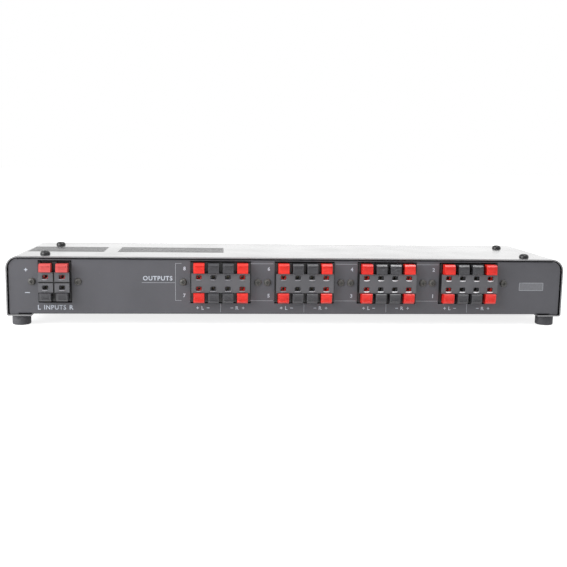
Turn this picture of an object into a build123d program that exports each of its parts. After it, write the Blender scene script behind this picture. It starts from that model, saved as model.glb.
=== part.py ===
from build123d import *
from collections import namedtuple
import os

# Speaker selector switch: a low steel case whose rear panel carries push-lever terminal
# blocks (one input block, four output blocks) and whose fascia carries the zone buttons.
# Frame: millimetres, +Z up, origin on the feet's bottom plane at the middle of the box;
# the fascia faces -Y and the terminals face +Y.

os.makedirs("parts", exist_ok=True)

# ---------------------------------------------------------------- driving dimensions
# case
case_width = 430.0
case_depth = 100.0
case_height = 45.4
cover_sheet = 1.0
cover_corner_radius = 9.4
return_flange_width = 18.5
bottom_bend_radius = 1.8

# vent slots in the cover's top: (centre x, measured in from the +X side, slot length) of each field
vent_fields = ((case_width / 2 - 121.35, 84.3), (case_width / 2 - 39.3, 59.6))
vent_slot_width = 3.0
vent_pitch = 5.2
vent_rows = 7

# chassis: folded sheet under the cover
chassis_sheet = 1.0
panel_recess = 1.3
side_gap = 1.0
floor_gap = 0.2
top_gap = 0.6
channel_overhang = 0.9
floor_side_gap = 3.0
bend_radius = 1.6
top_flange_depth = 20.0

# feet
foot_diameter = 14.0
foot_height = 8.2
foot_edge_radius = 1.0
foot_inset_x = 8.5
foot_inset_y = 12.0
foot_bore_diameter = 7.6
foot_bore_depth = 5.0

# machine screws
screw_diameter = 3.0
screw_clearance = 0.15
crown_share = 0.9
recess_width = 1.0
recess_depth = 1.1
cover_screw_head_diameter = 7.6
cover_screw_head_height = 2.4
cover_screw_length = 7.0
cover_screw_inset_x = 26.5
cover_screw_inset_y = 16.5
foot_screw_head_diameter = 6.0
foot_screw_head_height = 2.0
foot_screw_length = 9.0
terminal_screw_head_diameter = 5.6
terminal_screw_head_height = 1.8
terminal_screw_length = 7.0

# terminal blocks
terminal_raise = 3.6
terminal_protrusion = 5.3
terminal_body_depth = 16.0
terminal_face_thickness = 2.0
terminal_rear_wall = 1.5
terminal_end_wall = 1.2
terminal_flange_thickness = 2.0
terminal_flange_margin = 3.0
terminal_divider_protrusion = 0.3
panel_cutout_clearance = 1.0
input_inset_x = 36.15
input_gap_width = 1.1
input_gap_depth = 1.6
last_output_inset_x = 76.1
output_pitch = 64.4
output_blocks = 4

# spring levers and their wire holes
lever_side_clearance = 0.2
lever_face_clearance = 0.2
lever_protrusion = 3.0
lever_plate_thickness = 1.6
lever_nose_slope = 0.7
lever_edge_chamfer = 0.5
lever_outer_chamfer = 1.2
lever_hub_radius = 1.2
lever_hub_gap = 0.4
pivot_pin_diameter = 1.6
pivot_clearance = 0.05
pivot_end_clearance = 0.1
wire_hole_width = 4.0
wire_hole_height = 3.0
wire_hole_corner_radius = 0.8
wire_hole_lead_in = 0.5
lever_bore_diameter = 2.0
lever_bore_lead_in = 0.4

# contact springs
spring_width = 4.0
spring_thickness = 0.5
spring_offset_z = 9.0
spring_slot_clearance = 0.1
spring_blade_set_back = 8.0
spring_blade_drop = 6.0
lower_tag_set_back = 2.0
upper_tag_set_back = 4.6

# fascia and buttons
fascia_thickness = 3.0
fascia_edge_chamfer = 0.8
fascia_boss_diameter = 8.0
fascia_boss_inset_x = 20.0
button_width = 14.0
button_height = 8.0
button_corner_radius = 1.2
button_protrusion = 4.0
button_cap_depth = 6.0
button_edge_fillet = 0.6
button_clearance = 0.3
button_travel = 3.0
button_window_margin = 1.0
stem_width = 4.0
stem_height = 3.0
stem_clearance = 0.1
stem_engagement = 5.0
zone_buttons = 8
zone_button_pitch = 32.0
first_button_inset_x = 83.0
protection_button_inset_x = 55.0

# circuit board and what stands on it
board_thickness = 1.6
board_height = 7.6
board_side_margin = 19.0
board_front_gap = 5.7
board_rear_gap = 1.5
standoff_diameter = 6.0
standoff_inset = 8.0
standoffs_per_row = 4
switch_width = 12.0
switch_depth = 16.0
switch_set_back = 8.0
switch_head_room = 5.1
resistor_length = 48.0
resistor_section = 9.5
resistor_pitch = 12.0
resistors_per_field = 3
resistor_leg = 1.0
resistor_leg_inset = 3.0
resistor_lift = 4.0

# ---------------------------------------------------------------- derived places
cover_bottom = foot_height
cover_top = cover_bottom + case_height
case_middle_z = cover_bottom + case_height / 2
case_rear_y = case_depth / 2
case_front_y = -case_depth / 2
bottom_opening_width = case_width - 2 * return_flange_width

chassis_bottom = cover_bottom + cover_sheet + floor_gap
chassis_top = cover_top - cover_sheet - top_gap
chassis_height = chassis_top - chassis_bottom
chassis_middle_z = (chassis_top + chassis_bottom) / 2
chassis_depth = case_depth - 2 * panel_recess
chassis_width = case_width - 2 * (cover_sheet + side_gap)
channel_width = case_width - 2 * (cover_corner_radius - channel_overhang)
floor_width = case_width - 2 * (cover_sheet + floor_side_gap)
panel_corner_radius = cover_corner_radius - cover_sheet - side_gap
panel_bottom_radius = bottom_bend_radius - cover_sheet
panel_rear_y = chassis_depth / 2
panel_inner_y = panel_rear_y - chassis_sheet
floor_top = chassis_bottom + chassis_sheet
top_opening_depth = chassis_depth - 2 * top_flange_depth

foot_spacing_x = case_width - 2 * foot_inset_x
foot_spacing_y = case_depth - 2 * foot_inset_y
cover_screw_spacing_x = case_width - 2 * cover_screw_inset_x
cover_screw_spacing_y = case_depth - 2 * cover_screw_inset_y
screw_hole_radius = screw_diameter / 2 + screw_clearance

terminal_centre_z = chassis_middle_z + terminal_raise
input_centre_x = case_width / 2 - input_inset_x
first_output_centre_x = last_output_inset_x + output_pitch * (output_blocks - 1) - case_width / 2
terminal_face_y = panel_rear_y + terminal_protrusion
terminal_back_y = terminal_face_y - terminal_body_depth
face_inner_y = terminal_face_y - terminal_face_thickness
rear_wall_y = terminal_back_y + terminal_rear_wall
flange_back_y = panel_inner_y - terminal_flange_thickness
lever_nose_y = terminal_face_y + lever_protrusion
pivot_y = face_inner_y - lever_face_clearance - lever_hub_radius
pivot_offset_z = lever_hub_gap / 2 + lever_hub_radius
plate_front_y = pivot_y + lever_plate_thickness / 2
plate_back_y = pivot_y - lever_plate_thickness / 2
pivot_hole_radius = pivot_pin_diameter / 2 + pivot_clearance

board_bottom = floor_top + board_height
board_top = board_bottom + board_thickness
board_width = case_width - 2 * board_side_margin
board_front_y = -panel_inner_y + board_front_gap
board_rear_y = terminal_back_y - board_rear_gap
board_depth = board_rear_y - board_front_y
board_middle_y = (board_rear_y + board_front_y) / 2

fascia_front_y = case_front_y - fascia_thickness
button_front_y = fascia_front_y - button_protrusion
button_back_y = button_front_y + button_cap_depth
switch_front_y = -panel_inner_y + switch_set_back
switch_height = case_middle_z + switch_head_room - board_top
zone_row_start = first_button_inset_x - case_width / 2
zone_button_places = [zone_row_start + zone_button_pitch * index for index in range(zone_buttons)]
button_places = zone_button_places + [case_width / 2 - protection_button_inset_x]

# A terminal block: its size, its lever columns across the width and its fixing screws.
Block = namedtuple("Block", "centre_x width height columns lever_width tab_low tab_high hole_z screw_x pin_seat")

input_block = Block(
    centre_x=input_centre_x,
    width=23.0,
    height=30.3,
    columns=(6.2, -6.2),
    lever_width=8.6,
    tab_low=7.9,
    tab_high=14.1,
    hole_z=4.1,
    screw_x=17.05,
    pin_seat=0.4,
)
output_block_list = [
    Block(
        centre_x=first_output_centre_x - output_pitch * index,
        width=44.4,
        height=30.7,
        columns=(16.5, 5.5, -5.5, -16.5),
        lever_width=8.2,
        tab_low=7.6,
        tab_high=15.1,
        hole_z=4.4,
        screw_x=28.5,
        pin_seat=0.7,
    )
    for index in range(output_blocks)
]
all_blocks = [input_block] + output_block_list
terminal_screw_places = [
    (block.centre_x + side * block.screw_x, terminal_centre_z) for block in all_blocks for side in (-1, 1)
]


# ---------------------------------------------------------------- shared helpers
def facing_plane(y):
    """Upright plane at depth y: its x is X, its y is Z, and a positive extrusion runs to -Y."""
    return Plane.XZ.offset(-y)


def side_plane(x):
    """Upright plane at x: its x is Y, its y is Z, and a positive extrusion runs to +X."""
    return Plane.YZ.offset(x)


def arch_outline(width, height, top_radius, bottom_radius):
    """Case outline: a rectangle with large radii at its top corners and tight ones below."""
    with BuildSketch() as outline:
        Rectangle(width, height)
        fillet(outline.vertices().group_by(Axis.Y)[-1], top_radius)
        fillet(outline.vertices().group_by(Axis.Y)[0], bottom_radius)
    return outline.sketch


def finish(builder, label):
    """Label a finished sub-part and write its STEP file."""
    builder.part.label = label
    export_step(builder.part, "parts/" + label + ".step")
    print(label, len(builder.part.solids()), "solids, volume", round(builder.part.volume, 1))


def bay_width(block):
    """Width of the bay in which one lever column moves."""
    return block.lever_width + 2 * lever_side_clearance


def face_half_height(block):
    """Half the height of the face wall between the upper and the lower lever tabs."""
    return block.tab_low - lever_face_clearance


def screws(head_plane, head_radius, head_height, shank_length, places):
    """Pan-head screws: heads stand along the plane's normal, shanks run the other way."""
    with BuildPart() as pan_heads:
        with BuildSketch(head_plane):
            with Locations(*places):
                Circle(head_radius)
        extrude(amount=head_height)
        crowns = faces().filter_by(lambda face: face.normal_at().dot(head_plane.z_dir) > 0.99)
        fillet(crowns.edges(), head_height * crown_share)
        with BuildSketch(head_plane):
            with Locations(*places):
                Circle(screw_diameter / 2)
        extrude(amount=-shank_length)
        with BuildSketch(head_plane.offset(head_height)):
            with Locations(*places):
                Rectangle(head_radius, recess_width)
                Rectangle(recess_width, head_radius)
        extrude(amount=-recess_depth, mode=Mode.SUBTRACT)
    return pan_heads


# ---------------------------------------------------------------- cover
cover_inside = arch_outline(
    case_width - 2 * cover_sheet,
    case_height - 2 * cover_sheet,
    cover_corner_radius - cover_sheet,
    bottom_bend_radius - cover_sheet,
)

with BuildPart() as top_cover:
    # inverted U of sheet, with narrow flanges returned under the bottom
    with BuildSketch(facing_plane(case_rear_y)):
        with Locations((0, case_middle_z)):
            add(arch_outline(case_width, case_height, cover_corner_radius, bottom_bend_radius))
            add(cover_inside, mode=Mode.SUBTRACT)
        with Locations((0, cover_bottom)):
            Rectangle(bottom_opening_width, 3 * cover_sheet, mode=Mode.SUBTRACT)
    extrude(amount=case_depth)
    # vent slots over the resistors
    with BuildSketch(Plane.XY.offset(cover_top)):
        for field_x, slot_length in vent_fields:
            with Locations((field_x, 0)):
                with GridLocations(1, vent_pitch, 1, vent_rows):
                    SlotOverall(slot_length, vent_slot_width)
    extrude(amount=-2 * cover_sheet, mode=Mode.SUBTRACT)
    # screw holes in the top and in the return flanges
    with BuildSketch(Plane.XY.offset(cover_top)):
        with GridLocations(cover_screw_spacing_x, cover_screw_spacing_y, 2, 2):
            Circle(screw_hole_radius)
    extrude(amount=-2 * cover_sheet, mode=Mode.SUBTRACT)
    with BuildSketch(Plane.XY.offset(cover_bottom)):
        with GridLocations(foot_spacing_x, foot_spacing_y, 2, 2):
            Circle(screw_hole_radius)
    extrude(amount=2 * cover_sheet, mode=Mode.SUBTRACT)
finish(top_cover, "top_cover")

# ---------------------------------------------------------------- chassis
with BuildPart() as chassis:
    # channel: floor, front and rear panels, and their inward top flanges
    with BuildSketch(side_plane(-channel_width / 2)):
        with Locations((0, chassis_middle_z)):
            RectangleRounded(chassis_depth, chassis_height, bend_radius)
            RectangleRounded(
                chassis_depth - 2 * chassis_sheet,
                chassis_height - 2 * chassis_sheet,
                bend_radius - chassis_sheet,
                mode=Mode.SUBTRACT,
            )
        with Locations((0, chassis_top)):
            Rectangle(top_opening_depth, 3 * chassis_sheet, mode=Mode.SUBTRACT)
    extrude(amount=channel_width)
    # the floor reaches further out than the top flanges, over the feet
    with BuildSketch(Plane.XY.offset(chassis_bottom)):
        Rectangle(floor_width, chassis_depth - 2 * bend_radius)
    extrude(amount=chassis_sheet)
    # rounded ears that close both panels towards the cover's sides
    for ear_plane in (facing_plane(panel_rear_y), facing_plane(chassis_sheet - panel_rear_y)):
        with BuildSketch(ear_plane):
            with Locations((0, chassis_middle_z)):
                add(arch_outline(chassis_width, chassis_height, panel_corner_radius, panel_bottom_radius))
                Rectangle(channel_width, chassis_height, mode=Mode.SUBTRACT)
        extrude(amount=chassis_sheet)
    # rear panel: block cut-outs and screw holes
    with BuildSketch(facing_plane(panel_rear_y)):
        for block in all_blocks:
            with Locations((block.centre_x, terminal_centre_z)):
                Rectangle(
                    block.width + 2 * panel_cutout_clearance, block.height + 2 * panel_cutout_clearance
                )
        with Locations(*terminal_screw_places):
            Circle(screw_hole_radius)
    extrude(amount=chassis_sheet, mode=Mode.SUBTRACT)
    # front panel: windows through which the button caps move
    with BuildSketch(facing_plane(chassis_sheet - panel_rear_y)):
        with Locations(*[(place, case_middle_z) for place in button_places]):
            Rectangle(button_width + 2 * button_window_margin, button_height + 2 * button_window_margin)
    extrude(amount=chassis_sheet, mode=Mode.SUBTRACT)
    # screw holes in the top flanges and in the floor
    with BuildSketch(Plane.XY.offset(chassis_top)):
        with GridLocations(cover_screw_spacing_x, cover_screw_spacing_y, 2, 2):
            Circle(screw_hole_radius)
    extrude(amount=-chassis_sheet, mode=Mode.SUBTRACT)
    with BuildSketch(Plane.XY.offset(chassis_bottom)):
        with GridLocations(foot_spacing_x, foot_spacing_y, 2, 2):
            Circle(screw_hole_radius)
    extrude(amount=chassis_sheet, mode=Mode.SUBTRACT)
finish(chassis, "chassis")

# ---------------------------------------------------------------- feet and screws
with BuildPart() as feet:
    with BuildSketch(Plane.XY):
        with GridLocations(foot_spacing_x, foot_spacing_y, 2, 2):
            Circle(foot_diameter / 2)
    extrude(amount=foot_height)
    fillet(edges().filter_by(GeomType.CIRCLE).group_by(Axis.Z)[0], foot_edge_radius)
    with BuildSketch(Plane.XY):
        with GridLocations(foot_spacing_x, foot_spacing_y, 2, 2):
            Circle(foot_bore_diameter / 2)
    extrude(amount=foot_bore_depth, mode=Mode.SUBTRACT)
    with BuildSketch(Plane.XY.offset(foot_bore_depth)):
        with GridLocations(foot_spacing_x, foot_spacing_y, 2, 2):
            Circle(screw_hole_radius)
    extrude(amount=foot_height - foot_bore_depth, mode=Mode.SUBTRACT)
finish(feet, "feet")

foot_places = [(x * foot_spacing_x / 2, y * foot_spacing_y / 2) for x in (-1, 1) for y in (-1, 1)]
cover_screw_places = [
    (x * cover_screw_spacing_x / 2, y * cover_screw_spacing_y / 2) for x in (-1, 1) for y in (-1, 1)
]

foot_screws = screws(
    Plane((0, 0, foot_bore_depth), x_dir=(1, 0, 0), z_dir=(0, 0, -1)),
    foot_screw_head_diameter / 2,
    foot_screw_head_height,
    foot_screw_length,
    foot_places,
)
finish(foot_screws, "foot_screws")

cover_screws = screws(
    Plane.XY.offset(cover_top),
    cover_screw_head_diameter / 2,
    cover_screw_head_height,
    cover_screw_length,
    cover_screw_places,
)
finish(cover_screws, "cover_screws")

terminal_screws = screws(
    Plane((0, panel_rear_y, 0), x_dir=(-1, 0, 0), z_dir=(0, 1, 0)),
    terminal_screw_head_diameter / 2,
    terminal_screw_head_height,
    terminal_screw_length,
    [(-x, z) for x, z in terminal_screw_places],
)
finish(terminal_screws, "terminal_screws")


# ---------------------------------------------------------------- terminal block bodies
def column_places(block, offset_z):
    """The (x, z) places of every lever column, above and below the block's middle."""
    return [
        (block.centre_x + column, terminal_centre_z + row * offset_z)
        for column in block.columns
        for row in (1, -1)
    ]


def terminal_bodies(blocks):
    """Moulded bodies of blocks: face wall, lever bays, rear wall and mounting flange."""
    with BuildPart() as bodies:
        for block in blocks:
            middle = (block.centre_x, terminal_centre_z)
            with BuildSketch(facing_plane(terminal_face_y)):
                with Locations(middle):
                    Rectangle(block.width, block.height)
            extrude(amount=terminal_body_depth)
            # flange behind the panel
            with BuildSketch(facing_plane(panel_inner_y)):
                with Locations(middle):
                    Rectangle(2 * (block.screw_x + terminal_flange_margin), block.height)
            extrude(amount=terminal_flange_thickness)
            with BuildSketch(facing_plane(panel_inner_y)):
                with Locations((-block.screw_x + middle[0], middle[1]), (block.screw_x + middle[0], middle[1])):
                    Circle(screw_hole_radius)
            extrude(amount=terminal_flange_thickness, mode=Mode.SUBTRACT)
            # one bay per lever column, closed by the face wall and the rear wall
            with BuildSketch(facing_plane(face_inner_y)):
                with Locations(*[(block.centre_x + column, terminal_centre_z) for column in block.columns]):
                    Rectangle(bay_width(block), block.height - 2 * terminal_end_wall)
            extrude(amount=face_inner_y - rear_wall_y, mode=Mode.SUBTRACT)
            # the tabs come out above and below the face wall, in front of the cut-back dividers
            opening_height = block.height / 2 - face_half_height(block)
            opening_places = column_places(block, face_half_height(block) + opening_height / 2)
            with BuildSketch(facing_plane(terminal_face_y)):
                with Locations(*opening_places):
                    Rectangle(bay_width(block), opening_height)
            extrude(amount=terminal_face_y - flange_back_y, mode=Mode.SUBTRACT)
            with BuildSketch(facing_plane(terminal_face_y)):
                with Locations(middle):
                    Rectangle(block.width, block.height)
                    Rectangle(block.width, 2 * face_half_height(block), mode=Mode.SUBTRACT)
            extrude(amount=terminal_protrusion - terminal_divider_protrusion, mode=Mode.SUBTRACT)
            # wire holes with a slanted lead-in
            with BuildSketch(facing_plane(terminal_face_y)):
                with Locations(*column_places(block, block.hole_z)):
                    RectangleRounded(wire_hole_width, wire_hole_height, wire_hole_corner_radius)
            extrude(amount=terminal_face_thickness, mode=Mode.SUBTRACT)
            with BuildSketch(facing_plane(terminal_face_y)):
                with Locations(*column_places(block, block.hole_z)):
                    RectangleRounded(
                        wire_hole_width + 2 * wire_hole_lead_in,
                        wire_hole_height + 2 * wire_hole_lead_in,
                        wire_hole_corner_radius + wire_hole_lead_in,
                    )
            extrude(amount=wire_hole_lead_in, taper=45, mode=Mode.SUBTRACT)
            # pivot holes through the dividers and part of the way into the side walls
            hole_reach = max(block.columns) + bay_width(block) / 2 + block.pin_seat + pivot_end_clearance
            with BuildSketch(side_plane(block.centre_x - hole_reach)):
                with Locations(
                    (pivot_y, terminal_centre_z + pivot_offset_z), (pivot_y, terminal_centre_z - pivot_offset_z)
                ):
                    Circle(pivot_hole_radius)
            extrude(amount=2 * hole_reach, mode=Mode.SUBTRACT)
            # slots in the rear wall for the contact springs
            with BuildSketch(facing_plane(rear_wall_y)):
                with Locations(*column_places(block, spring_offset_z)):
                    Rectangle(spring_width + 2 * spring_slot_clearance, spring_thickness + 2 * spring_slot_clearance)
            extrude(amount=terminal_rear_wall, mode=Mode.SUBTRACT)
    return bodies


with BuildPart() as input_terminal_body:
    add(terminal_bodies([input_block]).part)
    # gaps that part the face into four cells
    with BuildSketch(facing_plane(terminal_face_y)):
        with Locations((input_block.centre_x, terminal_centre_z)):
            Rectangle(input_block.width, input_gap_width)
            Rectangle(input_gap_width, input_block.height)
    extrude(amount=input_gap_depth, mode=Mode.SUBTRACT)
finish(input_terminal_body, "input_terminal_body")

output_terminal_bodies = terminal_bodies(output_block_list)
finish(output_terminal_bodies, "output_terminal_bodies")


# ---------------------------------------------------------------- levers
def lever(block, column, row):
    """One spring lever: finger tab, plate with the wire bore, and pivot pins.

    row is 1 above the block's middle and -1 below it.
    """
    left_x = block.centre_x + column - block.lever_width / 2
    pivot_z = terminal_centre_z + row * pivot_offset_z
    low_z = terminal_centre_z + row * block.tab_low
    high_z = terminal_centre_z + row * block.tab_high
    reach = lever_side_clearance + block.pin_seat
    with BuildPart() as one_lever:
        with BuildSketch(side_plane(left_x)):
            with BuildLine():
                Polyline(
                    (plate_back_y, pivot_z),
                    (plate_front_y, pivot_z),
                    (plate_front_y, low_z),
                    (lever_nose_y - lever_edge_chamfer, low_z),
                    (lever_nose_y, low_z + row * lever_edge_chamfer),
                    (lever_nose_y - lever_nose_slope, high_z - row * lever_outer_chamfer),
                    (lever_nose_y - lever_nose_slope - lever_outer_chamfer, high_z),
                    (plate_back_y, high_z),
                    close=True,
                )
            make_face()
            with Locations((pivot_y, pivot_z)):
                Circle(lever_hub_radius)
        extrude(amount=block.lever_width)
        with BuildSketch(facing_plane(plate_front_y)):
            with Locations((block.centre_x + column, terminal_centre_z + row * block.hole_z)):
                Circle(lever_bore_diameter / 2)
        extrude(amount=lever_plate_thickness, mode=Mode.SUBTRACT)
        with BuildSketch(facing_plane(plate_front_y)):
            with Locations((block.centre_x + column, terminal_centre_z + row * block.hole_z)):
                Circle(lever_bore_diameter / 2 + lever_bore_lead_in)
        extrude(amount=lever_bore_lead_in, taper=45, mode=Mode.SUBTRACT)
        with BuildSketch(side_plane(left_x - reach)):
            with Locations((pivot_y, pivot_z)):
                Circle(pivot_pin_diameter / 2)
        extrude(amount=block.lever_width + 2 * reach)
    return one_lever


side_names = {1: "left", -1: "right"}
for column in input_block.columns:
    side = side_names[1 if column > 0 else -1]
    for row, polarity in ((1, "plus"), (-1, "minus")):
        finish(lever(input_block, column, row), "lever_input_" + side + "_" + polarity)

for index, block in enumerate(output_block_list):
    upper_zone = 2 * (output_blocks - index)
    for column in block.columns:
        side = side_names[1 if column > 0 else -1]
        polarity = "plus" if abs(column) == max(block.columns) else "minus"
        for row, zone in ((1, upper_zone), (-1, upper_zone - 1)):
            finish(lever(block, column, row), "lever_zone" + str(zone) + "_" + side + "_" + polarity)

# ---------------------------------------------------------------- contact springs
with BuildPart() as contact_springs:
    blade_y = terminal_face_y - spring_blade_set_back
    for block in all_blocks:
        for column in block.columns:
            for row, set_back in ((1, upper_tag_set_back), (-1, lower_tag_set_back)):
                strip_z = terminal_centre_z + row * spring_offset_z
                tag_y = terminal_back_y - set_back
                with BuildSketch(side_plane(block.centre_x + column - spring_width / 2)):
                    with Locations(((tag_y + blade_y) / 2, strip_z)):
                        Rectangle(blade_y - tag_y + spring_thickness, spring_thickness)
                    with Locations((blade_y, strip_z - row * spring_blade_drop / 2)):
                        Rectangle(spring_thickness, spring_blade_drop)
                    with Locations((tag_y, (strip_z + board_top) / 2)):
                        Rectangle(spring_thickness, strip_z - board_top)
                extrude(amount=spring_width)
finish(contact_springs, "contact_springs")

# ---------------------------------------------------------------- fascia and buttons
with BuildPart() as front_panel:
    with BuildSketch(facing_plane(case_front_y)):
        with Locations((0, case_middle_z)):
            add(arch_outline(case_width, case_height, cover_corner_radius, bottom_bend_radius))
    extrude(amount=fascia_thickness)
    chamfer(faces().sort_by(Axis.Y)[0].edges(), fascia_edge_chamfer)
    with BuildSketch(facing_plane(case_front_y)):
        with Locations(*[(place, case_middle_z) for place in button_places]):
            RectangleRounded(
                button_width + 2 * button_clearance,
                button_height + 2 * button_clearance,
                button_corner_radius + button_clearance,
            )
    extrude(amount=fascia_thickness, mode=Mode.SUBTRACT)
    # bosses that seat the fascia on the chassis
    boss_x = case_width / 2 - fascia_boss_inset_x
    with BuildSketch(facing_plane(-panel_rear_y)):
        with Locations((-boss_x, case_middle_z), (boss_x, case_middle_z)):
            Circle(fascia_boss_diameter / 2)
    extrude(amount=panel_recess)
finish(front_panel, "front_panel")


def button(place):
    """Push button: rounded cap in front of the fascia and a square stem into its switch."""
    with BuildPart() as push_button:
        with BuildSketch(facing_plane(button_back_y)):
            with Locations((place, case_middle_z)):
                RectangleRounded(button_width, button_height, button_corner_radius)
        extrude(amount=button_cap_depth)
        fillet(faces().sort_by(Axis.Y)[0].edges(), button_edge_fillet)
        with BuildSketch(facing_plane(switch_front_y + stem_engagement)):
            with Locations((place, case_middle_z)):
                Rectangle(stem_width, stem_height)
        extrude(amount=switch_front_y + stem_engagement - button_back_y)
    return push_button


button_names = ["button_zone" + str(index + 1) for index in range(zone_buttons)] + ["button_protection"]
for name, place in zip(button_names, button_places):
    finish(button(place), name)

with BuildPart() as switch_bodies:
    with BuildSketch(Plane.XY.offset(board_top)):
        with Locations(*[(place, switch_front_y + switch_depth / 2) for place in button_places]):
            Rectangle(switch_width, switch_depth)
    extrude(amount=switch_height)
    with BuildSketch(facing_plane(switch_front_y + stem_engagement + button_travel + stem_clearance)):
        with Locations(*[(place, case_middle_z) for place in button_places]):
            Rectangle(stem_width + 2 * stem_clearance, stem_height + 2 * stem_clearance)
    extrude(amount=stem_engagement + button_travel + stem_clearance, mode=Mode.SUBTRACT)
finish(switch_bodies, "switch_bodies")

# ---------------------------------------------------------------- circuit board
with BuildPart() as main_board:
    with BuildSketch(Plane.XY.offset(board_bottom)):
        with Locations((0, board_middle_y)):
            Rectangle(board_width, board_depth)
    extrude(amount=board_thickness)
finish(main_board, "main_board")

with BuildPart() as board_standoffs:
    standoff_pitch_x = (board_width - 2 * standoff_inset) / (standoffs_per_row - 1)
    with BuildSketch(Plane.XY.offset(floor_top)):
        with Locations((0, board_middle_y)):
            with GridLocations(standoff_pitch_x, board_depth - 2 * standoff_inset, standoffs_per_row, 2):
                Circle(standoff_diameter / 2)
    extrude(amount=board_height)
finish(board_standoffs, "board_standoffs")

with BuildPart() as power_resistors:
    leg_spacing = resistor_length - 2 * resistor_leg_inset
    for field_x, slot_length in vent_fields:
        with BuildSketch(Plane.XY.offset(board_top + resistor_lift)):
            with Locations((field_x, 0)):
                with GridLocations(1, resistor_pitch, 1, resistors_per_field):
                    Rectangle(resistor_length, resistor_section)
        extrude(amount=resistor_section)
        with BuildSketch(Plane.XY.offset(board_top)):
            for leg_x in (field_x - leg_spacing / 2, field_x + leg_spacing / 2):
                with Locations((leg_x, 0)):
                    with GridLocations(1, resistor_pitch, 1, resistors_per_field):
                        Rectangle(resistor_leg, resistor_leg)
        extrude(amount=resistor_lift)
finish(power_resistors, "power_resistors")
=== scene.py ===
# %% [markdown]
# # Dressing a speaker selector switch
# The object is a low black steel box. Its rear carries rows of push-lever wire terminals and white
# lettering, its front carries push buttons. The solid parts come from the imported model, which is loaded
# as a fixed frame. Blender adds the finishes, the printed lettering, the fine ribs of the levers and the
# small ledges under the wire holes.

# %% Load the frame
import bpy
import math
import numpy as np
from mathutils import Matrix, Vector


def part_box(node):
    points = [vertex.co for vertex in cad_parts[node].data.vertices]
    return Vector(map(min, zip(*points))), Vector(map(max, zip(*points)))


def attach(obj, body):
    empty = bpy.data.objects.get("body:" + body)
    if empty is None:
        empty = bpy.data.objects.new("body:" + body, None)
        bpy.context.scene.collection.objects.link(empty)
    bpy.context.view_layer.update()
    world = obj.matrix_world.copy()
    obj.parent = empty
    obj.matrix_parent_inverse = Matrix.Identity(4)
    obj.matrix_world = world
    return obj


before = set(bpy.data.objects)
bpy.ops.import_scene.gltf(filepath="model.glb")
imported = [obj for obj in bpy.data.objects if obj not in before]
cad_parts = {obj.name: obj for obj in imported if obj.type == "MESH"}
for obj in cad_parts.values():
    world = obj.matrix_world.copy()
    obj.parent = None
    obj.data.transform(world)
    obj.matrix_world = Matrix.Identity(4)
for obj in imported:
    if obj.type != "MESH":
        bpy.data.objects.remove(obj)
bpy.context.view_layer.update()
MM = 0.001

# %% [markdown]
# ## Places
# Sizes that new pieces need are read from the nodes' own boxes, so a word or a rib stays on the
# surface that carries it. Only what the lettering itself measures is written here, in millimetres.

# %% Places read from the frame
def span(node):
    """Lowest and highest corner of a node in millimetres, as two arrays."""
    low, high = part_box(node)
    return np.array(low) / MM, np.array(high) / MM


cover_low, cover_high = span("top_cover")
block_low, block_high = span("output_terminal_bodies")
panel_y = span("chassis")[1][1]
fascia_y = span("front_panel")[0][1]
face_y = block_high[1]
block_z = (block_low[2] + block_high[2]) / 2
foot_height = cover_low[2]
print("panel at", panel_y, "terminal face at", face_y, "fascia at", fascia_y)

# %% [markdown]
# ## Camera
# A long lens looks at the rear panel from a little above and to the left. The place, the turn and the
# focal length come from fitting the case's corners, so the picture's lines fall where they should. The
# turn is built from three angles by hand, because that keeps each of them readable.

# %% Camera
camera_place = Vector((58.9, 688.7, 129.1)) * MM
camera_yaw = math.radians(4.719)
camera_pitch = math.radians(8.461)
camera_roll = math.radians(-0.948)
lens_mm = 53.506
sensor_mm = 36.0
near_clip = 0.01

forward = Vector(
    (
        -math.sin(camera_yaw) * math.cos(camera_pitch),
        -math.cos(camera_yaw) * math.cos(camera_pitch),
        -math.sin(camera_pitch),
    )
)
level_right = Vector((-math.cos(camera_yaw), math.sin(camera_yaw), 0.0))
level_up = level_right.cross(forward)
right = math.cos(camera_roll) * level_right - math.sin(camera_roll) * level_up
up = math.sin(camera_roll) * level_right + math.cos(camera_roll) * level_up

camera_data = bpy.data.cameras.new("camera")
camera_data.lens = lens_mm
camera_data.sensor_width = sensor_mm
camera_data.clip_start = near_clip
camera = bpy.data.objects.new("camera", camera_data)
turn = Matrix((right, up, -forward)).transposed()
camera.matrix_world = Matrix.Translation(camera_place) @ turn.to_4x4()
bpy.context.scene.collection.objects.link(camera)
bpy.context.scene.camera = camera
print("camera at", tuple(round(value, 3) for value in camera_place))

# %% [markdown]
# ## Nodes and colours
# Every finish is a small node tree. One function adds a node, sets its properties and sets or links
# its inputs. One function turns an sRGB hex value into the linear colour that the shader works in. Two
# more say what finishes have in common: a colour that drifts in patches, and a change past a plane.

# %% Node and colour helpers
def linear(hex_value):
    """sRGB hex such as '#1a1a1c' as linear RGBA: c/12.92 below 0.04045, else ((c+0.055)/1.055)^2.4."""
    channels = np.array([int(hex_value[i:i + 2], 16) for i in (1, 3, 5)]) / 255.0
    low = channels / 12.92
    high = ((channels + 0.055) / 1.055) ** 2.4
    return (*np.where(channels <= 0.04045, low, high).tolist(), 1.0)


def scaled(colour, share):
    """A linear colour made lighter or darker by a share, opaque."""
    return tuple(min(1.0, channel * share) for channel in colour[:3]) + (1.0,)


def add(tree, kind, inputs=None, **settings):
    """Adds a shader node, sets its properties, and sets or links its inputs by name or number."""
    node = tree.nodes.new("ShaderNode" + kind)
    for name, value in settings.items():
        setattr(node, name, value)
    for name, value in (inputs or {}).items():
        if isinstance(value, bpy.types.NodeSocket):
            tree.links.new(value, node.inputs[name])
        else:
            node.inputs[name].default_value = value
    return node


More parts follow.
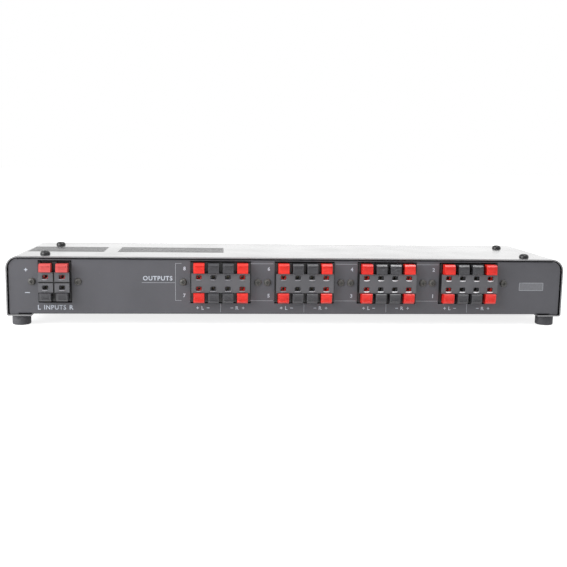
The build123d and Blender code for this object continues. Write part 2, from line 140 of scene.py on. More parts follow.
def empty_material(name):
    """A material with an empty tree, and the object coordinates in metres."""
    material = bpy.data.materials.new(name)
    material.use_nodes = True
    material.node_tree.nodes.clear()
    tree = material.node_tree
    place = add(tree, "TexCoord").outputs["Object"]
    return material, tree, place


def close_tree(tree, shader):
    """Links a shader node's first output to a new material output."""
    add(tree, "OutputMaterial", {"Surface": shader.outputs[0]})


def patches(tree, pattern, first, second, low=0.35, high=0.7):
    """Colour that drifts from first to second as the pattern's value rises from low to high."""
    share = add(tree, "MapRange", {"Value": pattern, "From Min": low, "From Max": high})
    inputs = {"Factor": share.outputs["Result"], "A": first, "B": second}
    return add(tree, "Mix", inputs, data_type="RGBA").outputs["Result"]


def past_plane(tree, place, axis, start_mm, end_mm, first, second):
    """Colour that changes from first to second between two places (mm) along the X or Y axis."""
    split = add(tree, "SeparateXYZ", {"Vector": place})
    return patches(tree, split.outputs[axis], first, second, start_mm * MM, end_mm * MM)


print("helpers ready", linear("#808080"))

# %% [markdown]
# ## Painted steel
# The cover, chassis and fascia are sheet steel under a thin baked paint. Such paint is smooth but not
# flat: it has a faint "orange peel" about a millimetre across, and a few specks of dust. Seen at a
# grazing angle it mirrors whatever is behind it, so its roughness is low on the cover and higher on the
# satin rear panel. The sheared edge of the sheet takes less paint, so it is a little lighter. A noise
# at each real size does this without any picture of paint.

# %% Painted steel
paint_cloud_mm = 40.0
dust_scale = 140.0
dust_share = 0.35
sheared_edge = "#8a8a8c"
edge_start_mm = 0.06
edge_end_mm = 0.02
paint_ior = 1.5


def painted_steel(name, paint, roughness, peel_mm, peel_height_mm, edge_y=None):
    """Baked paint on sheet steel; peel_mm is the width of its orange peel, edge_y its sheared edge."""
    material, tree, place = empty_material(name)
    peel = add(tree, "TexNoise", {"Vector": place, "Scale": 1 / (peel_mm * MM), "Detail": 2.0})
    cloud = add(tree, "TexNoise", {"Vector": place, "Scale": 1 / (paint_cloud_mm * MM), "Detail": 3.0})
    colour = patches(tree, cloud.outputs["Fac"], linear(paint), scaled(linear(paint), 1.22))
    speck = add(tree, "TexVoronoi", {"Vector": place, "Scale": dust_scale, "Randomness": 1.0})
    dust = add(
        tree,
        "MapRange",
        {
            "Value": speck.outputs["Distance"],
            "From Min": 0.03,
            "From Max": 0.05,
            "To Min": dust_share,
            "To Max": 0.0,
        },
    )
    inputs = {"Factor": dust.outputs["Result"], "A": colour, "B": linear("#77777a")}
    colour = add(tree, "Mix", inputs, data_type="RGBA").outputs["Result"]
    if edge_y is not None:
        start, end = edge_y - edge_start_mm, edge_y - edge_end_mm
        colour = past_plane(tree, place, "Y", start, end, colour, linear(sheared_edge))
    gloss = add(
        tree,
        "MapRange",
        {
            "Value": cloud.outputs["Fac"],
            "From Min": 0.3,
            "From Max": 0.7,
            "To Min": roughness * 0.85,
            "To Max": roughness * 1.2,
        },
    )
    bump = add(
        tree,
        "Bump",
        {"Height": peel.outputs["Fac"], "Distance": peel_height_mm * MM, "Strength": 0.35},
    )
    shader = add(
        tree,
        "BsdfPrincipled",
        {
            "Base Color": colour,
            "Roughness": gloss.outputs["Result"],
            "Normal": bump.outputs["Normal"],
            "IOR": paint_ior,
        },
    )
    close_tree(tree, shader)
    return material


cover_paint = painted_steel("baked semi-gloss black paint", "#1c1c1f", 0.16, 1.1, 0.004, cover_high[1])
panel_paint = painted_steel("satin charcoal paint", "#4e4e53", 0.42, 0.7, 0.010)
fascia_paint = painted_steel("satin black fascia paint", "#202023", 0.34, 0.7, 0.006)
print("paints:", cover_paint.name, "/", panel_paint.name, "/", fascia_paint.name)

# %% [markdown]
# ## Moulded plastics
# The terminal bodies, levers and buttons are injection moulded. The mould's spark-eroded skin gives a
# fine grain of a few tenths of a millimetre, drawn here as bump. Levers are glossier than bodies,
# because fingers and the mould both polish them. A bevel node rounds the shading of moulded edges,
# where a real part has a radius of a few tenths of a millimetre, and costs no extra faces. Little light
# reaches deep into the bodies or onto their sides, so behind the face their colour is painted shade, black.

# %% Moulded plastic
drift_scale = 60.0
bay_painted_shade = "#161618"
bay_fade_mm = 0.3
plastic_ior = 1.5


def moulded_plastic(
    name, colour_hex, roughness, grain_mm, grain_height_mm, edge_radius_mm, tint_hex=None, pale_from_y=None
):
    """Injection moulded plastic: fine grain, rounded edges, colour drift; painted shade, black, behind
    pale_from_y (mm).
    """
    material, tree, place = empty_material(name)
    grain = add(tree, "TexNoise", {"Vector": place, "Scale": 1 / (grain_mm * MM), "Detail": 1.0})
    drift = add(tree, "TexNoise", {"Vector": place, "Scale": drift_scale, "Detail": 2.0})
    base = linear(colour_hex)
    tint = linear(tint_hex) if tint_hex else scaled(base, 0.86)
    colour = patches(tree, drift.outputs["Fac"], base, tint)
    # Painted shade: the colour turns black just behind the face, in the bays and on the bodies' sides.
    if pale_from_y is not None:
        start, end = pale_from_y - bay_fade_mm, pale_from_y
        colour = past_plane(tree, place, "Y", start, end, linear(bay_painted_shade), colour)
    gloss = add(
        tree,
        "MapRange",
        {
            "Value": drift.outputs["Fac"],
            "From Min": 0.3,
            "From Max": 0.7,
            "To Min": roughness * 0.9,
            "To Max": roughness * 1.15,
        },
    )
    rounded = add(tree, "Bevel", {"Radius": edge_radius_mm * MM}, samples=4)
    bump = add(
        tree,
        "Bump",
        {
            "Height": grain.outputs["Fac"],
            "Distance": grain_height_mm * MM,
            "Strength": 0.5,
            "Normal": rounded.outputs["Normal"],
        },
    )
    shader = add(
        tree,
        "BsdfPrincipled",
        {
            "Base Color": colour,
            "Roughness": gloss.outputs["Result"],
            "Normal": bump.outputs["Normal"],
            "IOR": plastic_ior,
        },
    )
    close_tree(tree, shader)
    return material


body_plastic = moulded_plastic(
    "spark-textured charcoal ABS", "#5e5e62", 0.36, 0.35, 0.01, 0.25, pale_from_y=face_y - 0.2
)
red_plastic = moulded_plastic("moulded red ABS", "#f02c1e", 0.33, 0.5, 0.01, 0.3, "#e2221a")
washed_red = moulded_plastic("faded red ABS", "#d65654", 0.35, 0.5, 0.01, 0.3, "#c94b49")
black_plastic = moulded_plastic("moulded black ABS", "#414145", 0.28, 0.5, 0.01, 0.3)
button_plastic = moulded_plastic("moulded button ABS", "#3a3a3e", 0.4, 0.3, 0.01, 0.3)
switch_plastic = moulded_plastic("glass-filled nylon", "#151516", 0.55, 0.3, 0.02, 0.2)
print("plastics:", body_plastic.name, red_plastic.name, black_plastic.name)

# %% [markdown]
# ## Plastic with a painted highlight
# The ledges under the wire holes are the same moulding, smooth and glossy. Their colour is a painted
# highlight: a little paler than the body near the input block and nearly white towards the far blocks,
# where the light glints on the ledges. One change of colour along X gives every ledge its share of that.

# %% Plastic with a painted highlight
scratch_mm = 0.4
scratch_height_mm = 0.005
highlight_near_x = 0.0
highlight_far_x = -60.0


def painted_highlight_plastic(name, near_hex, far_hex, roughness):
    """Glossy moulding with a painted highlight: near_hex on the near side, far_hex towards the far blocks,
    smooth between.
    """
    material, tree, place = empty_material(name)
    # Painted highlight: the colour runs from grey near the input to near white at the far blocks.
    colour = past_plane(tree, place, "X", highlight_far_x, highlight_near_x, linear(far_hex), linear(near_hex))
    scratch = add(tree, "TexNoise", {"Vector": place, "Scale": 1 / (scratch_mm * MM), "Detail": 1.0})
    bump = add(
        tree,
        "Bump",
        {"Height": scratch.outputs["Fac"], "Distance": scratch_height_mm * MM, "Strength": 0.4},
    )
    shader = add(
        tree,
        "BsdfPrincipled",
        {
            "Base Color": colour,
            "Roughness": roughness,
            "Normal": bump.outputs["Normal"],
            "IOR": plastic_ior,
        },
    )
    close_tree(tree, shader)
    return material


# The ledges' colour is a painted highlight, not wear.
lip_painted_highlight = painted_highlight_plastic("grey ABS with painted highlight", "#8c8c91", "#f2f2f6", 0.22)
print("lips:", lip_painted_highlight.name)

# %% [markdown]
# ## Rubber
# The feet are moulded rubber: dull, near black, and slightly dusty, with a skin of fine pits. Two noises
# make the bloom's soft patches and the pits, so that no two feet look the same.

# %% Rubber
bloom_scale = 220.0
bloom_share = 0.5
pit_mm = 0.45
pit_depth_mm = 0.03
rubber_ior = 1.52


def foot_rubber(name):
    """Moulded rubber: near black, dull, with a pale bloom in soft patches and a fine pitted skin."""
    material, tree, place = empty_material(name)
    pits = add(tree, "TexNoise", {"Vector": place, "Scale": 1 / (pit_mm * MM), "Detail": 2.0})
    bloom = add(tree, "TexNoise", {"Vector": place, "Scale": bloom_scale, "Detail": 4.0})
    mask = add(
        tree,
        "MapRange",
        {"Value": bloom.outputs["Fac"], "From Min": 0.45, "From Max": 0.75, "To Max": bloom_share},
    )
    inputs = {"Factor": mask.outputs["Result"], "A": linear("#4c4c50"), "B": linear("#707073")}
    colour = add(tree, "Mix", inputs, data_type="RGBA").outputs["Result"]
    bump = add(
        tree, "Bump", {"Height": pits.outputs["Fac"], "Distance": pit_depth_mm * MM, "Strength": 0.6}
    )
    shader = add(
        tree,
        "BsdfPrincipled",
        {"Base Color": colour, "Roughness": 0.72, "Normal": bump.outputs["Normal"], "IOR": rubber_ior},
    )
    close_tree(tree, shader)
    return material


rubber = foot_rubber("moulded foot rubber")
print("rubber:", rubber.name)

# %% [markdown]
# ## Metals
# The foot screws are zinc plated, the contact springs are tinned brass and the board stands on turned
# brass. Plating and turning leave short streaks of two close tones, stretched by a mapping. The cover
# screws and the terminal screws are blackened, which looks like a thin paint, so they use that finish.

# %% Metals
streak_stretch = 3.0
streak_depth_mm = 0.01


def plated_metal(name, light_hex, dark_hex, roughness, streak_mm):
    """Plated fastener metal: two close tones in short streaks, as rolling and plating leave them."""
    material, tree, place = empty_material(name)
    stretched = add(tree, "Mapping", {"Vector": place, "Scale": (1.0, 1.0, streak_stretch)})
    streak = add(
        tree, "TexNoise", {"Vector": stretched.outputs[0], "Scale": 1 / (streak_mm * MM), "Detail": 3.0}
    )
    colour = patches(tree, streak.outputs["Fac"], linear(light_hex), linear(dark_hex))
    gloss = add(
        tree,
        "MapRange",
        {
            "Value": streak.outputs["Fac"],
            "From Min": 0.3,
            "From Max": 0.7,
            "To Min": roughness * 0.8,
            "To Max": roughness * 1.3,
        },
    )
    bump = add(
        tree,
        "Bump",
        {"Height": streak.outputs["Fac"], "Distance": streak_depth_mm * MM, "Strength": 0.4},
    )
    shader = add(
        tree,
        "BsdfPrincipled",
        {
            "Base Color": colour,
            "Roughness": gloss.outputs["Result"],
            "Metallic": 1.0,
            "Normal": bump.outputs["Normal"],
        },
    )
    close_tree(tree, shader)
    return material


zinc = plated_metal("zinc plated steel", "#b9b9b6", "#8f9092", 0.34, 0.8)
tinned = plated_metal("dull tinned brass", "#8f8a7c", "#6d685c", 0.45, 0.6)
turned_brass = plated_metal("turned brass", "#c8a75c", "#9b7d3c", 0.28, 0.4)
blackened = painted_steel("blackened steel", "#141416", 0.28, 0.5, 0.004)
dulled = painted_steel("dulled black zinc", "#4c4b48", 0.38, 0.5, 0.006)
print("metals:", zinc.name, blackened.name, tinned.name, turned_brass.name)

# %% [markdown]
# ## Ceramic and the circuit board
# The resistors are pressed ceramic, rough and off-white. The board is glass laminate under green solder
# mask, with copper tracks a millimetre or so wide. They only show through the vents, so a cell pattern
# with straight borders stands for the tracks.

# %% Ceramic and circuit board
sand_mm = 0.4
sand_height_mm = 0.08
track_cell_mm = 2.5
track_height_mm = 0.04
mask_ior = 1.5


def rough_ceramic(name):
    """Pressed ceramic: off-white, matt, with a sandy grain of sand_mm."""
    material, tree, place = empty_material(name)
    sand = add(tree, "TexNoise", {"Vector": place, "Scale": 1 / (sand_mm * MM), "Detail": 3.0})
    colour = patches(tree, sand.outputs["Fac"], linear("#e6e2d8"), linear("#cfc9bb"), 0.3, 0.7)
    bump = add(
        tree, "Bump", {"Height": sand.outputs["Fac"], "Distance": sand_height_mm * MM, "Strength": 0.6}
    )
    shader = add(
        tree, "BsdfPrincipled", {"Base Color": colour, "Roughness": 0.8, "Normal": bump.outputs["Normal"]}
    )
    close_tree(tree, shader)
    return material


def solder_masked_laminate(name):
    """Green solder mask over copper tracks: blocky cells of track_cell_mm stand for the tracks."""
    material, tree, place = empty_material(name)
    tracks = add(
        tree,
        "TexVoronoi",
        {"Vector": place, "Scale": 1 / (track_cell_mm * MM), "Randomness": 0.6},
        distance="CHEBYCHEV",
        feature="DISTANCE_TO_EDGE",
    )
    mask = add(
        tree,
        "MapRange",
        {
            "Value": tracks.outputs["Distance"],
            "From Min": 0.05,
            "From Max": 0.09,
            "To Min": 1.0,
            "To Max": 0.0,
        },
    )
    inputs = {"Factor": mask.outputs["Result"], "A": linear("#1d5a2c"), "B": linear("#2f7a3c")}
    colour = add(tree, "Mix", inputs, data_type="RGBA").outputs["Result"]
    bump = add(
        tree, "Bump", {"Height": mask.outputs["Result"], "Distance": track_height_mm * MM, "Strength": 0.7}
    )
    shader = add(
        tree,
        "BsdfPrincipled",
        {"Base Color": colour, "Roughness": 0.3, "Normal": bump.outputs["Normal"], "IOR": mask_ior},
    )
    close_tree(tree, shader)
    return material


ceramic = rough_ceramic("pressed ceramic")
laminate = solder_masked_laminate("solder masked laminate")
print("inside:", ceramic.name, laminate.name)

# %% [markdown]
# ## Finishes on the frame's own parts
# A solid whose shape is already right keeps its mesh and only gets its finish. Levers are found by
# name: the plus levers are red and the minus levers are black.

# %% Assign the finishes
node_finish = {
    "top_cover": cover_paint,
    "chassis": panel_paint,
    "front_panel": fascia_paint,
    "feet": rubber,
    "foot_screws": zinc,
    "terminal_screws": dulled,
    "cover_screws": blackened,
    "input_terminal_body": body_plastic,
    "output_terminal_bodies": body_plastic,
    "contact_springs": tinned,
    "switch_bodies": switch_plastic,
    "main_board": laminate,
    "board_standoffs": turned_brass,
    "power_resistors": ceramic,
}


def lever_finish(name):
    """Red for plus and black for minus; the input pair's red has faded."""
    if name.endswith("minus"):
        return black_plastic
    return washed_red if name.startswith("lever_input") else red_plastic


for name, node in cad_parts.items():
    finish = node_finish.get(name)
    if name.startswith("lever_"):
        finish = lever_finish(name)
    if name.startswith("button_"):
        finish = button_plastic
    for material_slot in node.material_slots:
        material_slot.material = finish
lever_names = sorted(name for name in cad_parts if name.startswith("lever_"))
print("finished", len(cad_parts), "nodes,", len(lever_names), "levers")

# %% [markdown]
# ## Meshes from grids
# Every new piece is worked out as a grid of points, with rows along it and columns round it. One
# function joins neighbouring points into quads, and another puts points and faces into an object that
# rides on its body. The points keep their place in the mesh, so the object stays at the origin.

# %% Mesh helpers
def mesh_piece(name, points, faces, material, body):
    """Puts points (in mm) and faces into a new mesh object that rides on a body."""
    mesh = bpy.data.meshes.new(name)
    mesh.from_pydata((np.asarray(points) * MM).tolist(), [], faces)
    mesh.materials.append(material)
    mesh.shade_smooth()
    piece = bpy.data.objects.new(name, mesh)
    bpy.context.scene.collection.objects.link(piece)
    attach(piece, body)
    return piece


def grid_faces(rows, columns, first=0, closed=False):
    """Quads of a rows x columns grid of points, optionally closed round its columns."""
    row, column = np.meshgrid(np.arange(rows - 1), np.arange(columns - (0 if closed else 1)), indexing="ij")
    after = (column + 1) % columns
    corners = [row * columns + column, row * columns + after]
    corners += [(row + 1) * columns + after, (row + 1) * columns + column]
    return (np.stack([corner.ravel() for corner in corners], axis=1) + first).tolist()


def lever_row(name):
    """A lever's lowest and highest corner (mm), and 1 for the upper row or -1 for the lower row."""
    low, high = span(name)
    return low, high, 1.0 if (low[2] + high[2]) / 2 > block_z else -1.0


print("a 3 x 3 grid has", len(grid_faces(3, 3)), "quads")

# %% [markdown]
# ## Finger ribs on the levers
# Each lever's nose has a lip at its outer end and a few finer ribs that keep a finger from slipping. A
# rib is a half round bar with rounded ends. It is worked out as one grid of points and repeated up the
# nose's slope, because real ribs are cheaper than a fine bump and catch the light along their length.

# %% Lever ribs
rib_height = 0.22
rib_half_width = 0.3
rib_pitch = 1.05
rib_count = 4
rib_end_margin = 0.6
rib_inset = 0.02
rib_rows = 17
rib_columns = 9
lip_height = 0.5
lip_half_width = 0.5
lip_inset = 1.5
nose_lean = 0.7
nose_length = 6.4
pin_lengths = 1.8


def rib_grid(length, half_width, height):
    """Half round bar along x: radius shrinks at both ends as sqrt(1 - s^8); angle runs 0 to pi."""
    s = np.linspace(-1.0, 1.0, rib_rows)[:, None]
    angle = np.linspace(0.0, math.pi, rib_columns)[None, :]
    swell = np.sqrt(np.clip(1.0 - s ** 8, 0.0, 1.0))
    x = s * length / 2 + 0.0 * angle
    across = swell * np.cos(angle) * half_width
    out = swell * np.sin(angle) * height
    return np.stack([x, across, out], axis=-1).reshape(-1, 3)


def lever_ribs(name):
    """A lip and finer ribs on one lever's nose, which leans back by nose_lean over nose_length."""
    low, high, row = lever_row(name)
    tab_high = max(abs(low[2] - block_z), abs(high[2] - block_z))
    length = high[0] - low[0] - pin_lengths - 2 * rib_end_margin
    bars = [(tab_high - lip_inset, lip_half_width, lip_height)]
    for index in range(rib_count):
        bars.append((tab_high - lip_inset - (index + 1) * rib_pitch, rib_half_width, rib_height))
    points = []
    faces = []
    for offset, half_width, height in bars:
        bar = rib_grid(length, half_width, height)
        lean = nose_lean * (offset - (tab_high - nose_length)) / nose_length
        out = bar[:, 2].copy()
        bar[:, 0] += (low[0] + high[0]) / 2
        bar[:, 2] = block_z + row * (offset + bar[:, 1])
        bar[:, 1] = high[1] - max(lean, height) - rib_inset + out
        faces += grid_faces(rib_rows, rib_columns, len(points) * rib_rows * rib_columns)
        points.append(bar)
    return mesh_piece("ribs_" + name, np.concatenate(points), faces, lever_finish(name), name)


ribs = [lever_ribs(name) for name in lever_names]
print("ribs on", len(ribs), "levers")

# %% [markdown]
# ## Lips under the wire holes
# A small ledge under every wire hole guides the wire in, and its colour is a painted highlight. It is
# a little wider than the hole and runs out to nothing at both ends, and its top slopes outwards, so it
# catches the light from above.
# One section carried along a line makes it, closed all round so that it has no open back.

# %% Wire hole lips
ledge_half_length = 2.6
ledge_rows = 17
ledge_section = np.array([(-0.3, 0.1), (0.1, 0.0), (0.5, -0.4), (0.5, -0.8), (-0.3, -1.0)])
hole_half_height = 1.5
hole_offsets = {"input": 4.1, "zone": 4.4}


def ledge_grid():
    """Ledge along x: the section, swelling as sqrt(1 - s^2) from its inner edge at both ends."""
    s = np.linspace(-1.0, 1.0, ledge_rows)[:, None]
    swell = np.sqrt(np.clip(1.0 - s ** 2, 0.0, 1.0))
    x = s * ledge_half_length + 0.0 * ledge_section[None, :, 0]
    y = ledge_section[0, 0] + swell * (ledge_section[None, :, 0] - ledge_section[0, 0])
    z = swell * ledge_section[None, :, 1]
    return np.stack([x, y, z], axis=-1).reshape(-1, 3)


def hole_lips(kind):
    """One piece with the ledges of all the holes whose lever's name begins with the kind."""
    points = []
    faces = []
    columns = len(ledge_section)
    for name in lever_names:
        if not name.startswith("lever_" + kind):
            continue
        low, high, row = lever_row(name)
        hole = ((low[0] + high[0]) / 2, face_y, block_z + row * hole_offsets[kind] - hole_half_height)
        faces += grid_faces(ledge_rows, columns, len(points) * ledge_rows * columns, closed=True)
        points.append(ledge_grid() + hole)
    return mesh_piece(
        "hole_lips_" + kind, np.concatenate(points), faces, lip_painted_highlight, "case"
    )


lips = [hole_lips(kind) for kind in hole_offsets]
print("lips:", [len(piece.data.polygons) for piece in lips])

# %% [markdown]
# ## Screen ink
# The words and lines are screen printed in a pale matt ink. The ink lies a few hundredths of a
# millimetre thick and covers a little unevenly, which a noise of half a millimetre shows.

# %% Ink
ink_patch_mm = 0.5
ink_relief_mm = 0.01


def screen_ink(name, colour_hex):
    """Screen ink: matt, pale, slightly uneven coverage at a scale of ink_patch_mm."""
    material, tree, place = empty_material(name)
    cover = add(tree, "TexNoise", {"Vector": place, "Scale": 1 / (ink_patch_mm * MM), "Detail": 2.0})
    base = linear(colour_hex)
    colour = patches(tree, cover.outputs["Fac"], base, scaled(base, 0.72), 0.4, 0.75)
    bump = add(
        tree, "Bump", {"Height": cover.outputs["Fac"], "Distance": ink_relief_mm * MM, "Strength": 0.4}
    )
    shader = add(
        tree, "BsdfPrincipled", {"Base Color": colour, "Roughness": 0.55, "Normal": bump.outputs["Normal"]}
    )
    close_tree(tree, shader)
    return material


ink = screen_ink("pale grey screen ink", "#c6ccd6")
line_ink = screen_ink("thin grey screen ink", "#a5a8ae")
label_ink = screen_ink("grey label ink", "#7c7d82")
print("ink:", ink.name, "/", line_ink.name, "/", label_ink.name)

# %% [markdown]
# ## Words and strokes
# A word is made as a text object, turned into a mesh, scaled to its height and width, and laid a few
# hundredths of a millimetre proud of the paint, facing outwards. The lines are flat strokes with round
# ends. A small class collects the shapes of one face, so that each face's print is one piece.

# %% Words and strokes
ink_thickness = 0.04
letter_spacing = 1.14
letter_weight = 0.02
curve_steps = 3
cap_steps = 7
smallest_size = 1e-6


def word_mesh(text, weight):
    """Points (2-D, unit size) and faces of a word, from a text object turned into a mesh."""
    curve = bpy.data.curves.new("word", "FONT")
    curve.body = text
    curve.offset = weight
    curve.space_character = letter_spacing
    curve.resolution_u = curve_steps
    holder = bpy.data.objects.new("word", curve)
    bpy.context.scene.collection.objects.link(holder)
    bpy.context.view_layer.update()
    mesh = bpy.data.meshes.new_from_object(holder.evaluated_get(bpy.context.evaluated_depsgraph_get()))
    points = np.zeros(len(mesh.vertices) * 3)
    mesh.vertices.foreach_get("co", points)
    faces = [list(polygon.vertices) for polygon in mesh.polygons]
    bpy.data.objects.remove(holder)
    bpy.data.curves.remove(curve)
    bpy.data.meshes.remove(mesh)
    return points.reshape(-1, 3)[:, :2], faces


class Print:
    """Collects flat ink shapes on one upright face and makes them one piece.

    facing is 1 for a face that looks to +Y and -1 for one that looks to -Y, and heights are counted
    from base_z.
    """

    def __init__(self, surface_y, facing, base_z=0.0):
        self.surface_y = surface_y
        self.facing = facing
        self.base_z = base_z
        self.points = []
        self.faces = []
        self.count = 0

    def lay(self, flat, faces):
        """Lays 2-D points (reading right and up, in mm) on the face; reading right is -facing * X."""
        x = -self.facing * flat[:, 0]
        y = np.full(len(flat), self.surface_y + self.facing * ink_thickness)
        self.points.append(np.stack([x, y, flat[:, 1] + self.base_z], axis=1))
        self.faces += [[index + self.count for index in face] for face in faces]
        self.count += len(flat)

    def word(self, text, x, z, height, width=None, weight=letter_weight):
        """A word centred at x, z, scaled to its height and, where given, its width."""
        flat, faces = word_mesh(text, weight)
        low = flat.min(axis=0)
        size = np.maximum(flat.max(axis=0) - low, smallest_size)
        scale_z = height / size[1]
        scale_x = width / size[0] if width else scale_z
        flat = (flat - low - size / 2) * np.array([scale_x, scale_z])
        self.lay(flat + np.array([-self.facing * x, z]), faces)

    def stroke(self, x0, z0, x1, z1, width):
        """A straight line of ink with half round ends."""
        start = np.array([-self.facing * x0, z0])
        end = np.array([-self.facing * x1, z1])
        along = (end - start) / np.linalg.norm(end - start)
        side = np.array([-along[1], along[0]])
        angle = np.linspace(-math.pi / 2, math.pi / 2, cap_steps)[:, None]
        cap = np.cos(angle) * along + np.sin(angle) * side
        flat = np.concatenate([end + cap * width / 2, start - cap * width / 2])
        self.lay(flat, [list(range(len(flat)))])

    def frame(self, x0, z0, x1, z1, width):
        """A rectangle of four strokes."""
        corners = [(x0, z0), (x1, z0), (x1, z1), (x0, z1)]
        for start, end in zip(corners, corners[1:] + corners[:1]):
            self.stroke(*start, *end, width)

    def block(self, x0, z0, x1, z1):
        """A filled rectangle."""
        flat = np.array([(-self.facing * x, z) for x, z in ((x0, z0), (x1, z0), (x1, z1), (x0, z1))])
        self.lay(flat, [[0, 1, 2, 3]])

    def finish(self, name, material, body, slot):
        """Makes the piece."""
        return mesh_piece(name, np.concatenate(self.points), self.faces, material, body)


print("print helpers ready")

# %% [markdown]
# ## Rear panel lettering
# Every block has plus, L, minus and minus, R, plus under its columns, with a short divider between the
# two sides. The zone numbers stand beside the upper and the lower row. Words are plain function words,
# and the label at the far end is left bare. Places are tables, in millimetres above the case's bottom.

# %% Places of the rear print
line_width = 0.34
minus_width = 0.5
frame_width = 0.42
input_minus = (201.0, 17.65, 197.8, 17.65, 0.6)
input_and_output_words = (
    ("+", 200.2, 35.0, 2.6, None, letter_weight),
    ("L", 190.9, 6.4, 3.5, None, letter_weight),
    ("INPUTS", 179.15, 6.4, 3.5, 16.2, 0.01),
    ("R", 167.0, 6.4, 3.5, None, letter_weight),
    ("OUTPUTS", 102.1, 29.0, 3.5, 22.2, 0.025),
)
output_lines = (
    (114.0, 25.6, 88.7, 25.6),
    (88.7, 11.9, 88.7, 40.5),
    (88.7, 40.5, 84.3, 40.5),
    (88.7, 11.9, 84.3, 11.9),
)
output_centres = (54.3, -10.1, -74.5, -138.9)
zone_numbers = (("8", "7"), ("6", "5"), ("4", "3"), ("2", "1"))
number_offset = 27.6
number_heights = (36.6, 15.8)
number_size = 2.9
number_weight = 0.035
column_marks = (("+", 17.6), ("L", 13.7), ("-", 9.6), ("-", -8.6), ("R", -12.7), ("+", -17.3))
mark_height = 6.2
mark_sizes = {"+": 2.0, "L": 2.8, "R": 2.8}
minus_half_length = 0.9
divider_heights = (3.0, 9.6)
link_lines = ((31.3, 14.2), (-34.3, -50.6), (-97.8, -115.0))
link_heights = (40.6, 11.9)
label_box = (-180.5, 20.6, -199.7, 26.6)
print("blocks at", output_centres)

# %% Rear panel lettering
rear = Print(panel_y, 1, foot_height)
lines = Print(panel_y, 1, foot_height)
label = Print(panel_y - ink_thickness / 2, 1, foot_height)
for text, x, z, height, width, weight in input_and_output_words:
    rear.word(text, x, z, height, width, weight)
rear.stroke(*input_minus)
for line in output_lines:
    lines.stroke(*line, line_width)
for centre, numbers in zip(output_centres, zone_numbers):
    for number, height in zip(numbers, number_heights):
        rear.word(number, centre + number_offset, height, number_size, weight=number_weight)
    for mark, offset in column_marks:
        x = centre + offset
        if mark == "-":
            rear.stroke(x + minus_half_length, mark_height, x - minus_half_length, mark_height, minus_width)
        else:
            rear.word(mark, x, mark_height, mark_sizes[mark])
    lines.stroke(centre, divider_heights[0], centre, divider_heights[1], line_width)
for start, end in link_lines:
    for height in link_heights:
        lines.stroke(start, height, end, height, line_width)
lines.frame(*label_box, frame_width)
label.block(*label_box)
rear_print = rear.finish("rear_panel_lettering", ink, "case", "grey_paint")
rear_lines = lines.finish("rear_panel_lines", line_ink, "case", "grey_paint")
blank_label = label.finish("blank_label", label_ink, "case", "grey_paint")
print("rear faces", [len(piece.data.polygons) for piece in (rear_print, rear_lines, blank_label)])

# %% [markdown]
# ## Fascia lettering
# The buttons are numbered to match the rows at the rear, and the last one switches the protection. The
# words take their places from the buttons' own boxes, so they follow if a button moves.

# %% Fascia lettering
caption_rise = 4.2
caption_size = 3.2
protection_size = 2.6
underline_drop = 3.2
group_drop = 6.4
group_size = 3.0

front = Print(fascia_y, -1)
button_names = sorted(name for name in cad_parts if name.startswith("button_zone"))
for name in button_names:
    low, high = span(name)
    front.word(name[-1], (low[0] + high[0]) / 2, high[2] + caption_rise, caption_size)
low, high = span("button_protection")
front.word("PROTECTION", (low[0] + high[0]) / 2, high[2] + caption_rise, protection_size)
group_start = span(button_names[0])[0][0]
group_end = span(button_names[-1])[1][0]
front.stroke(group_start, low[2] - underline_drop, group_end, low[2] - underline_drop, line_width)
front.word("SPEAKERS", (group_start + group_end) / 2, low[2] - group_drop, group_size)
front_print = front.finish("fascia_lettering", ink, "case", "fascia_paint")
print("fascia lettering faces", len(front_print.data.polygons))

# %% [markdown]
# ## Floor
# A plain pale floor carries the object and keeps its soft shadow. It is partly diffuse, and partly glows
# for the rays that the camera, mirrors and glass send out, so it looks white without lighting the object.

# %% Floor
floor_size = 14.0
floor_glow = 0.8
floor_tones = (0.74, 0.76)
mottle_scale = 6.0


def seen_directly(tree):
    """1 for camera, mirror and glass rays and 0 for the rays that carry light."""
    path = add(tree, "LightPath")
    kinds = {0: path.outputs["Is Camera Ray"], 1: path.outputs["Is Glossy Ray"]}
    either = add(tree, "Math", kinds, operation="MAXIMUM")
    kinds = {0: either.outputs[0], 1: path.outputs["Is Transmission Ray"]}
    return add(tree, "Math", kinds, operation="MAXIMUM").outputs[0]


def studio_floor(name):
    """Pale floor: part diffuse, so that it keeps the shadow, part glow for the rays seen directly."""
    material, tree, place = empty_material(name)
    mottle = add(tree, "TexNoise", {"Vector": place, "Scale": mottle_scale, "Detail": 2.0})
    tone = add(
        tree,
        "MapRange",
        {
            "Value": mottle.outputs["Fac"],
            "From Min": 0.3,
            "From Max": 0.7,
            "To Min": floor_tones[0],
            "To Max": floor_tones[1],
        },
    ).outputs["Result"]
    colour = add(tree, "CombineColor", {"Red": tone, "Green": tone, "Blue": tone})
    diffuse = add(tree, "BsdfDiffuse", {"Color": colour.outputs[0]})
    strength = add(tree, "Math", {0: seen_directly(tree), 1: floor_glow}, operation="MULTIPLY")
    glow = add(tree, "Emission", {"Color": (1, 1, 1, 1), "Strength": strength.outputs[0]})
    shader = add(tree, "AddShader", {0: diffuse.outputs[0], 1: glow.outputs[0]})
    close_tree(tree, shader)
    return material


floor_mesh = bpy.data.meshes.new("floor")
half = floor_size / 2
floor_corners = [(-half, -half, 0), (half, -half, 0), (half, half, 0), (-half, half, 0)]
floor_mesh.from_pydata(floor_corners, [], [(0, 1, 2, 3)])
floor_mesh.materials.append(studio_floor("pale studio floor"))
floor = bpy.data.objects.new("floor", floor_mesh)
bpy.context.scene.collection.objects.link(floor)
print("floor", floor_size, "m wide")

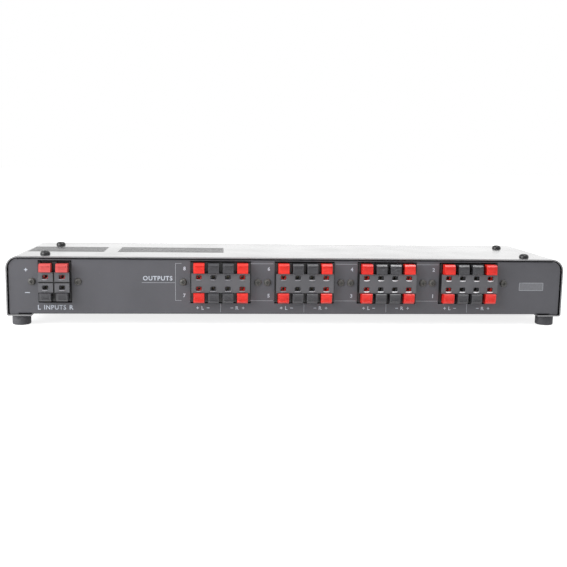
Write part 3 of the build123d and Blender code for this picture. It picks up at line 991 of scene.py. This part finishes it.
# %% [markdown]
# ## Surround
# The world is an even surround. The camera, mirrors and glass see it as plain white, and the object is
# lit by less than half of that, so a white backdrop doesn't wash the colours out.

# %% World
surround_strength = 0.42

world = bpy.data.worlds.new("studio")
world.use_nodes = True
world.node_tree.nodes.clear()
world_tree = world.node_tree
world_strength = add(
    world_tree, "MapRange", {"Value": seen_directly(world_tree), "To Min": surround_strength, "To Max": 1.0}
)
background = add(
    world_tree, "Background", {"Color": (1, 1, 1, 1), "Strength": world_strength.outputs["Result"]}
)
add(world_tree, "OutputWorld", {"Surface": background.outputs[0]})
bpy.context.scene.world = world
print("surround", surround_strength)

# %% [markdown]
# ## Lamps
# Three soft lamps stand round the object. The key lamp, to the left of the terminals, makes the rear
# panel fall off gently towards the right. A long low lamp behind the case lights up the top where it
# mirrors the backdrop, and a small one high over the far blocks draws a line of light on the levers.

# %% Lamps
def softbox(name, place, target, width, height, power):
    """Rectangular area lamp at a place in metres, aimed at a target, unseen by the camera."""
    lamp = bpy.data.lights.new(name, "AREA")
    lamp.shape = "RECTANGLE"
    lamp.size = width
    lamp.size_y = height
    lamp.energy = power
    holder = bpy.data.objects.new(name, lamp)
    aim = Vector(target) - Vector(place)
    holder.matrix_world = Matrix.Translation(place) @ aim.to_track_quat("-Z", "Y").to_matrix().to_4x4()
    holder.visible_camera = False
    bpy.context.scene.collection.objects.link(holder)
    return holder


lamps = [
    softbox("key softbox", (0.95, 0.55, 0.48), (0.16, 0.05, 0.03), width=1.0, height=0.6, power=13.0),
    softbox("back softbox", (0.0, -1.6, 0.3), (0.0, 0.0, 0.04), width=3.2, height=0.7, power=5.0),
    softbox("top softbox", (-0.36, 0.24, 1.25), (-0.1, 0.054, 0.034), width=0.5, height=0.2, power=5.5),
]
print("lamps:", [lamp.name for lamp in lamps])

# %% [markdown]
# ## Close
# The colours are shown through the Standard view transform, and the scene is updated.

# %% Finish
bpy.context.scene.view_settings.view_transform = "Standard"
bpy.context.view_layer.update()
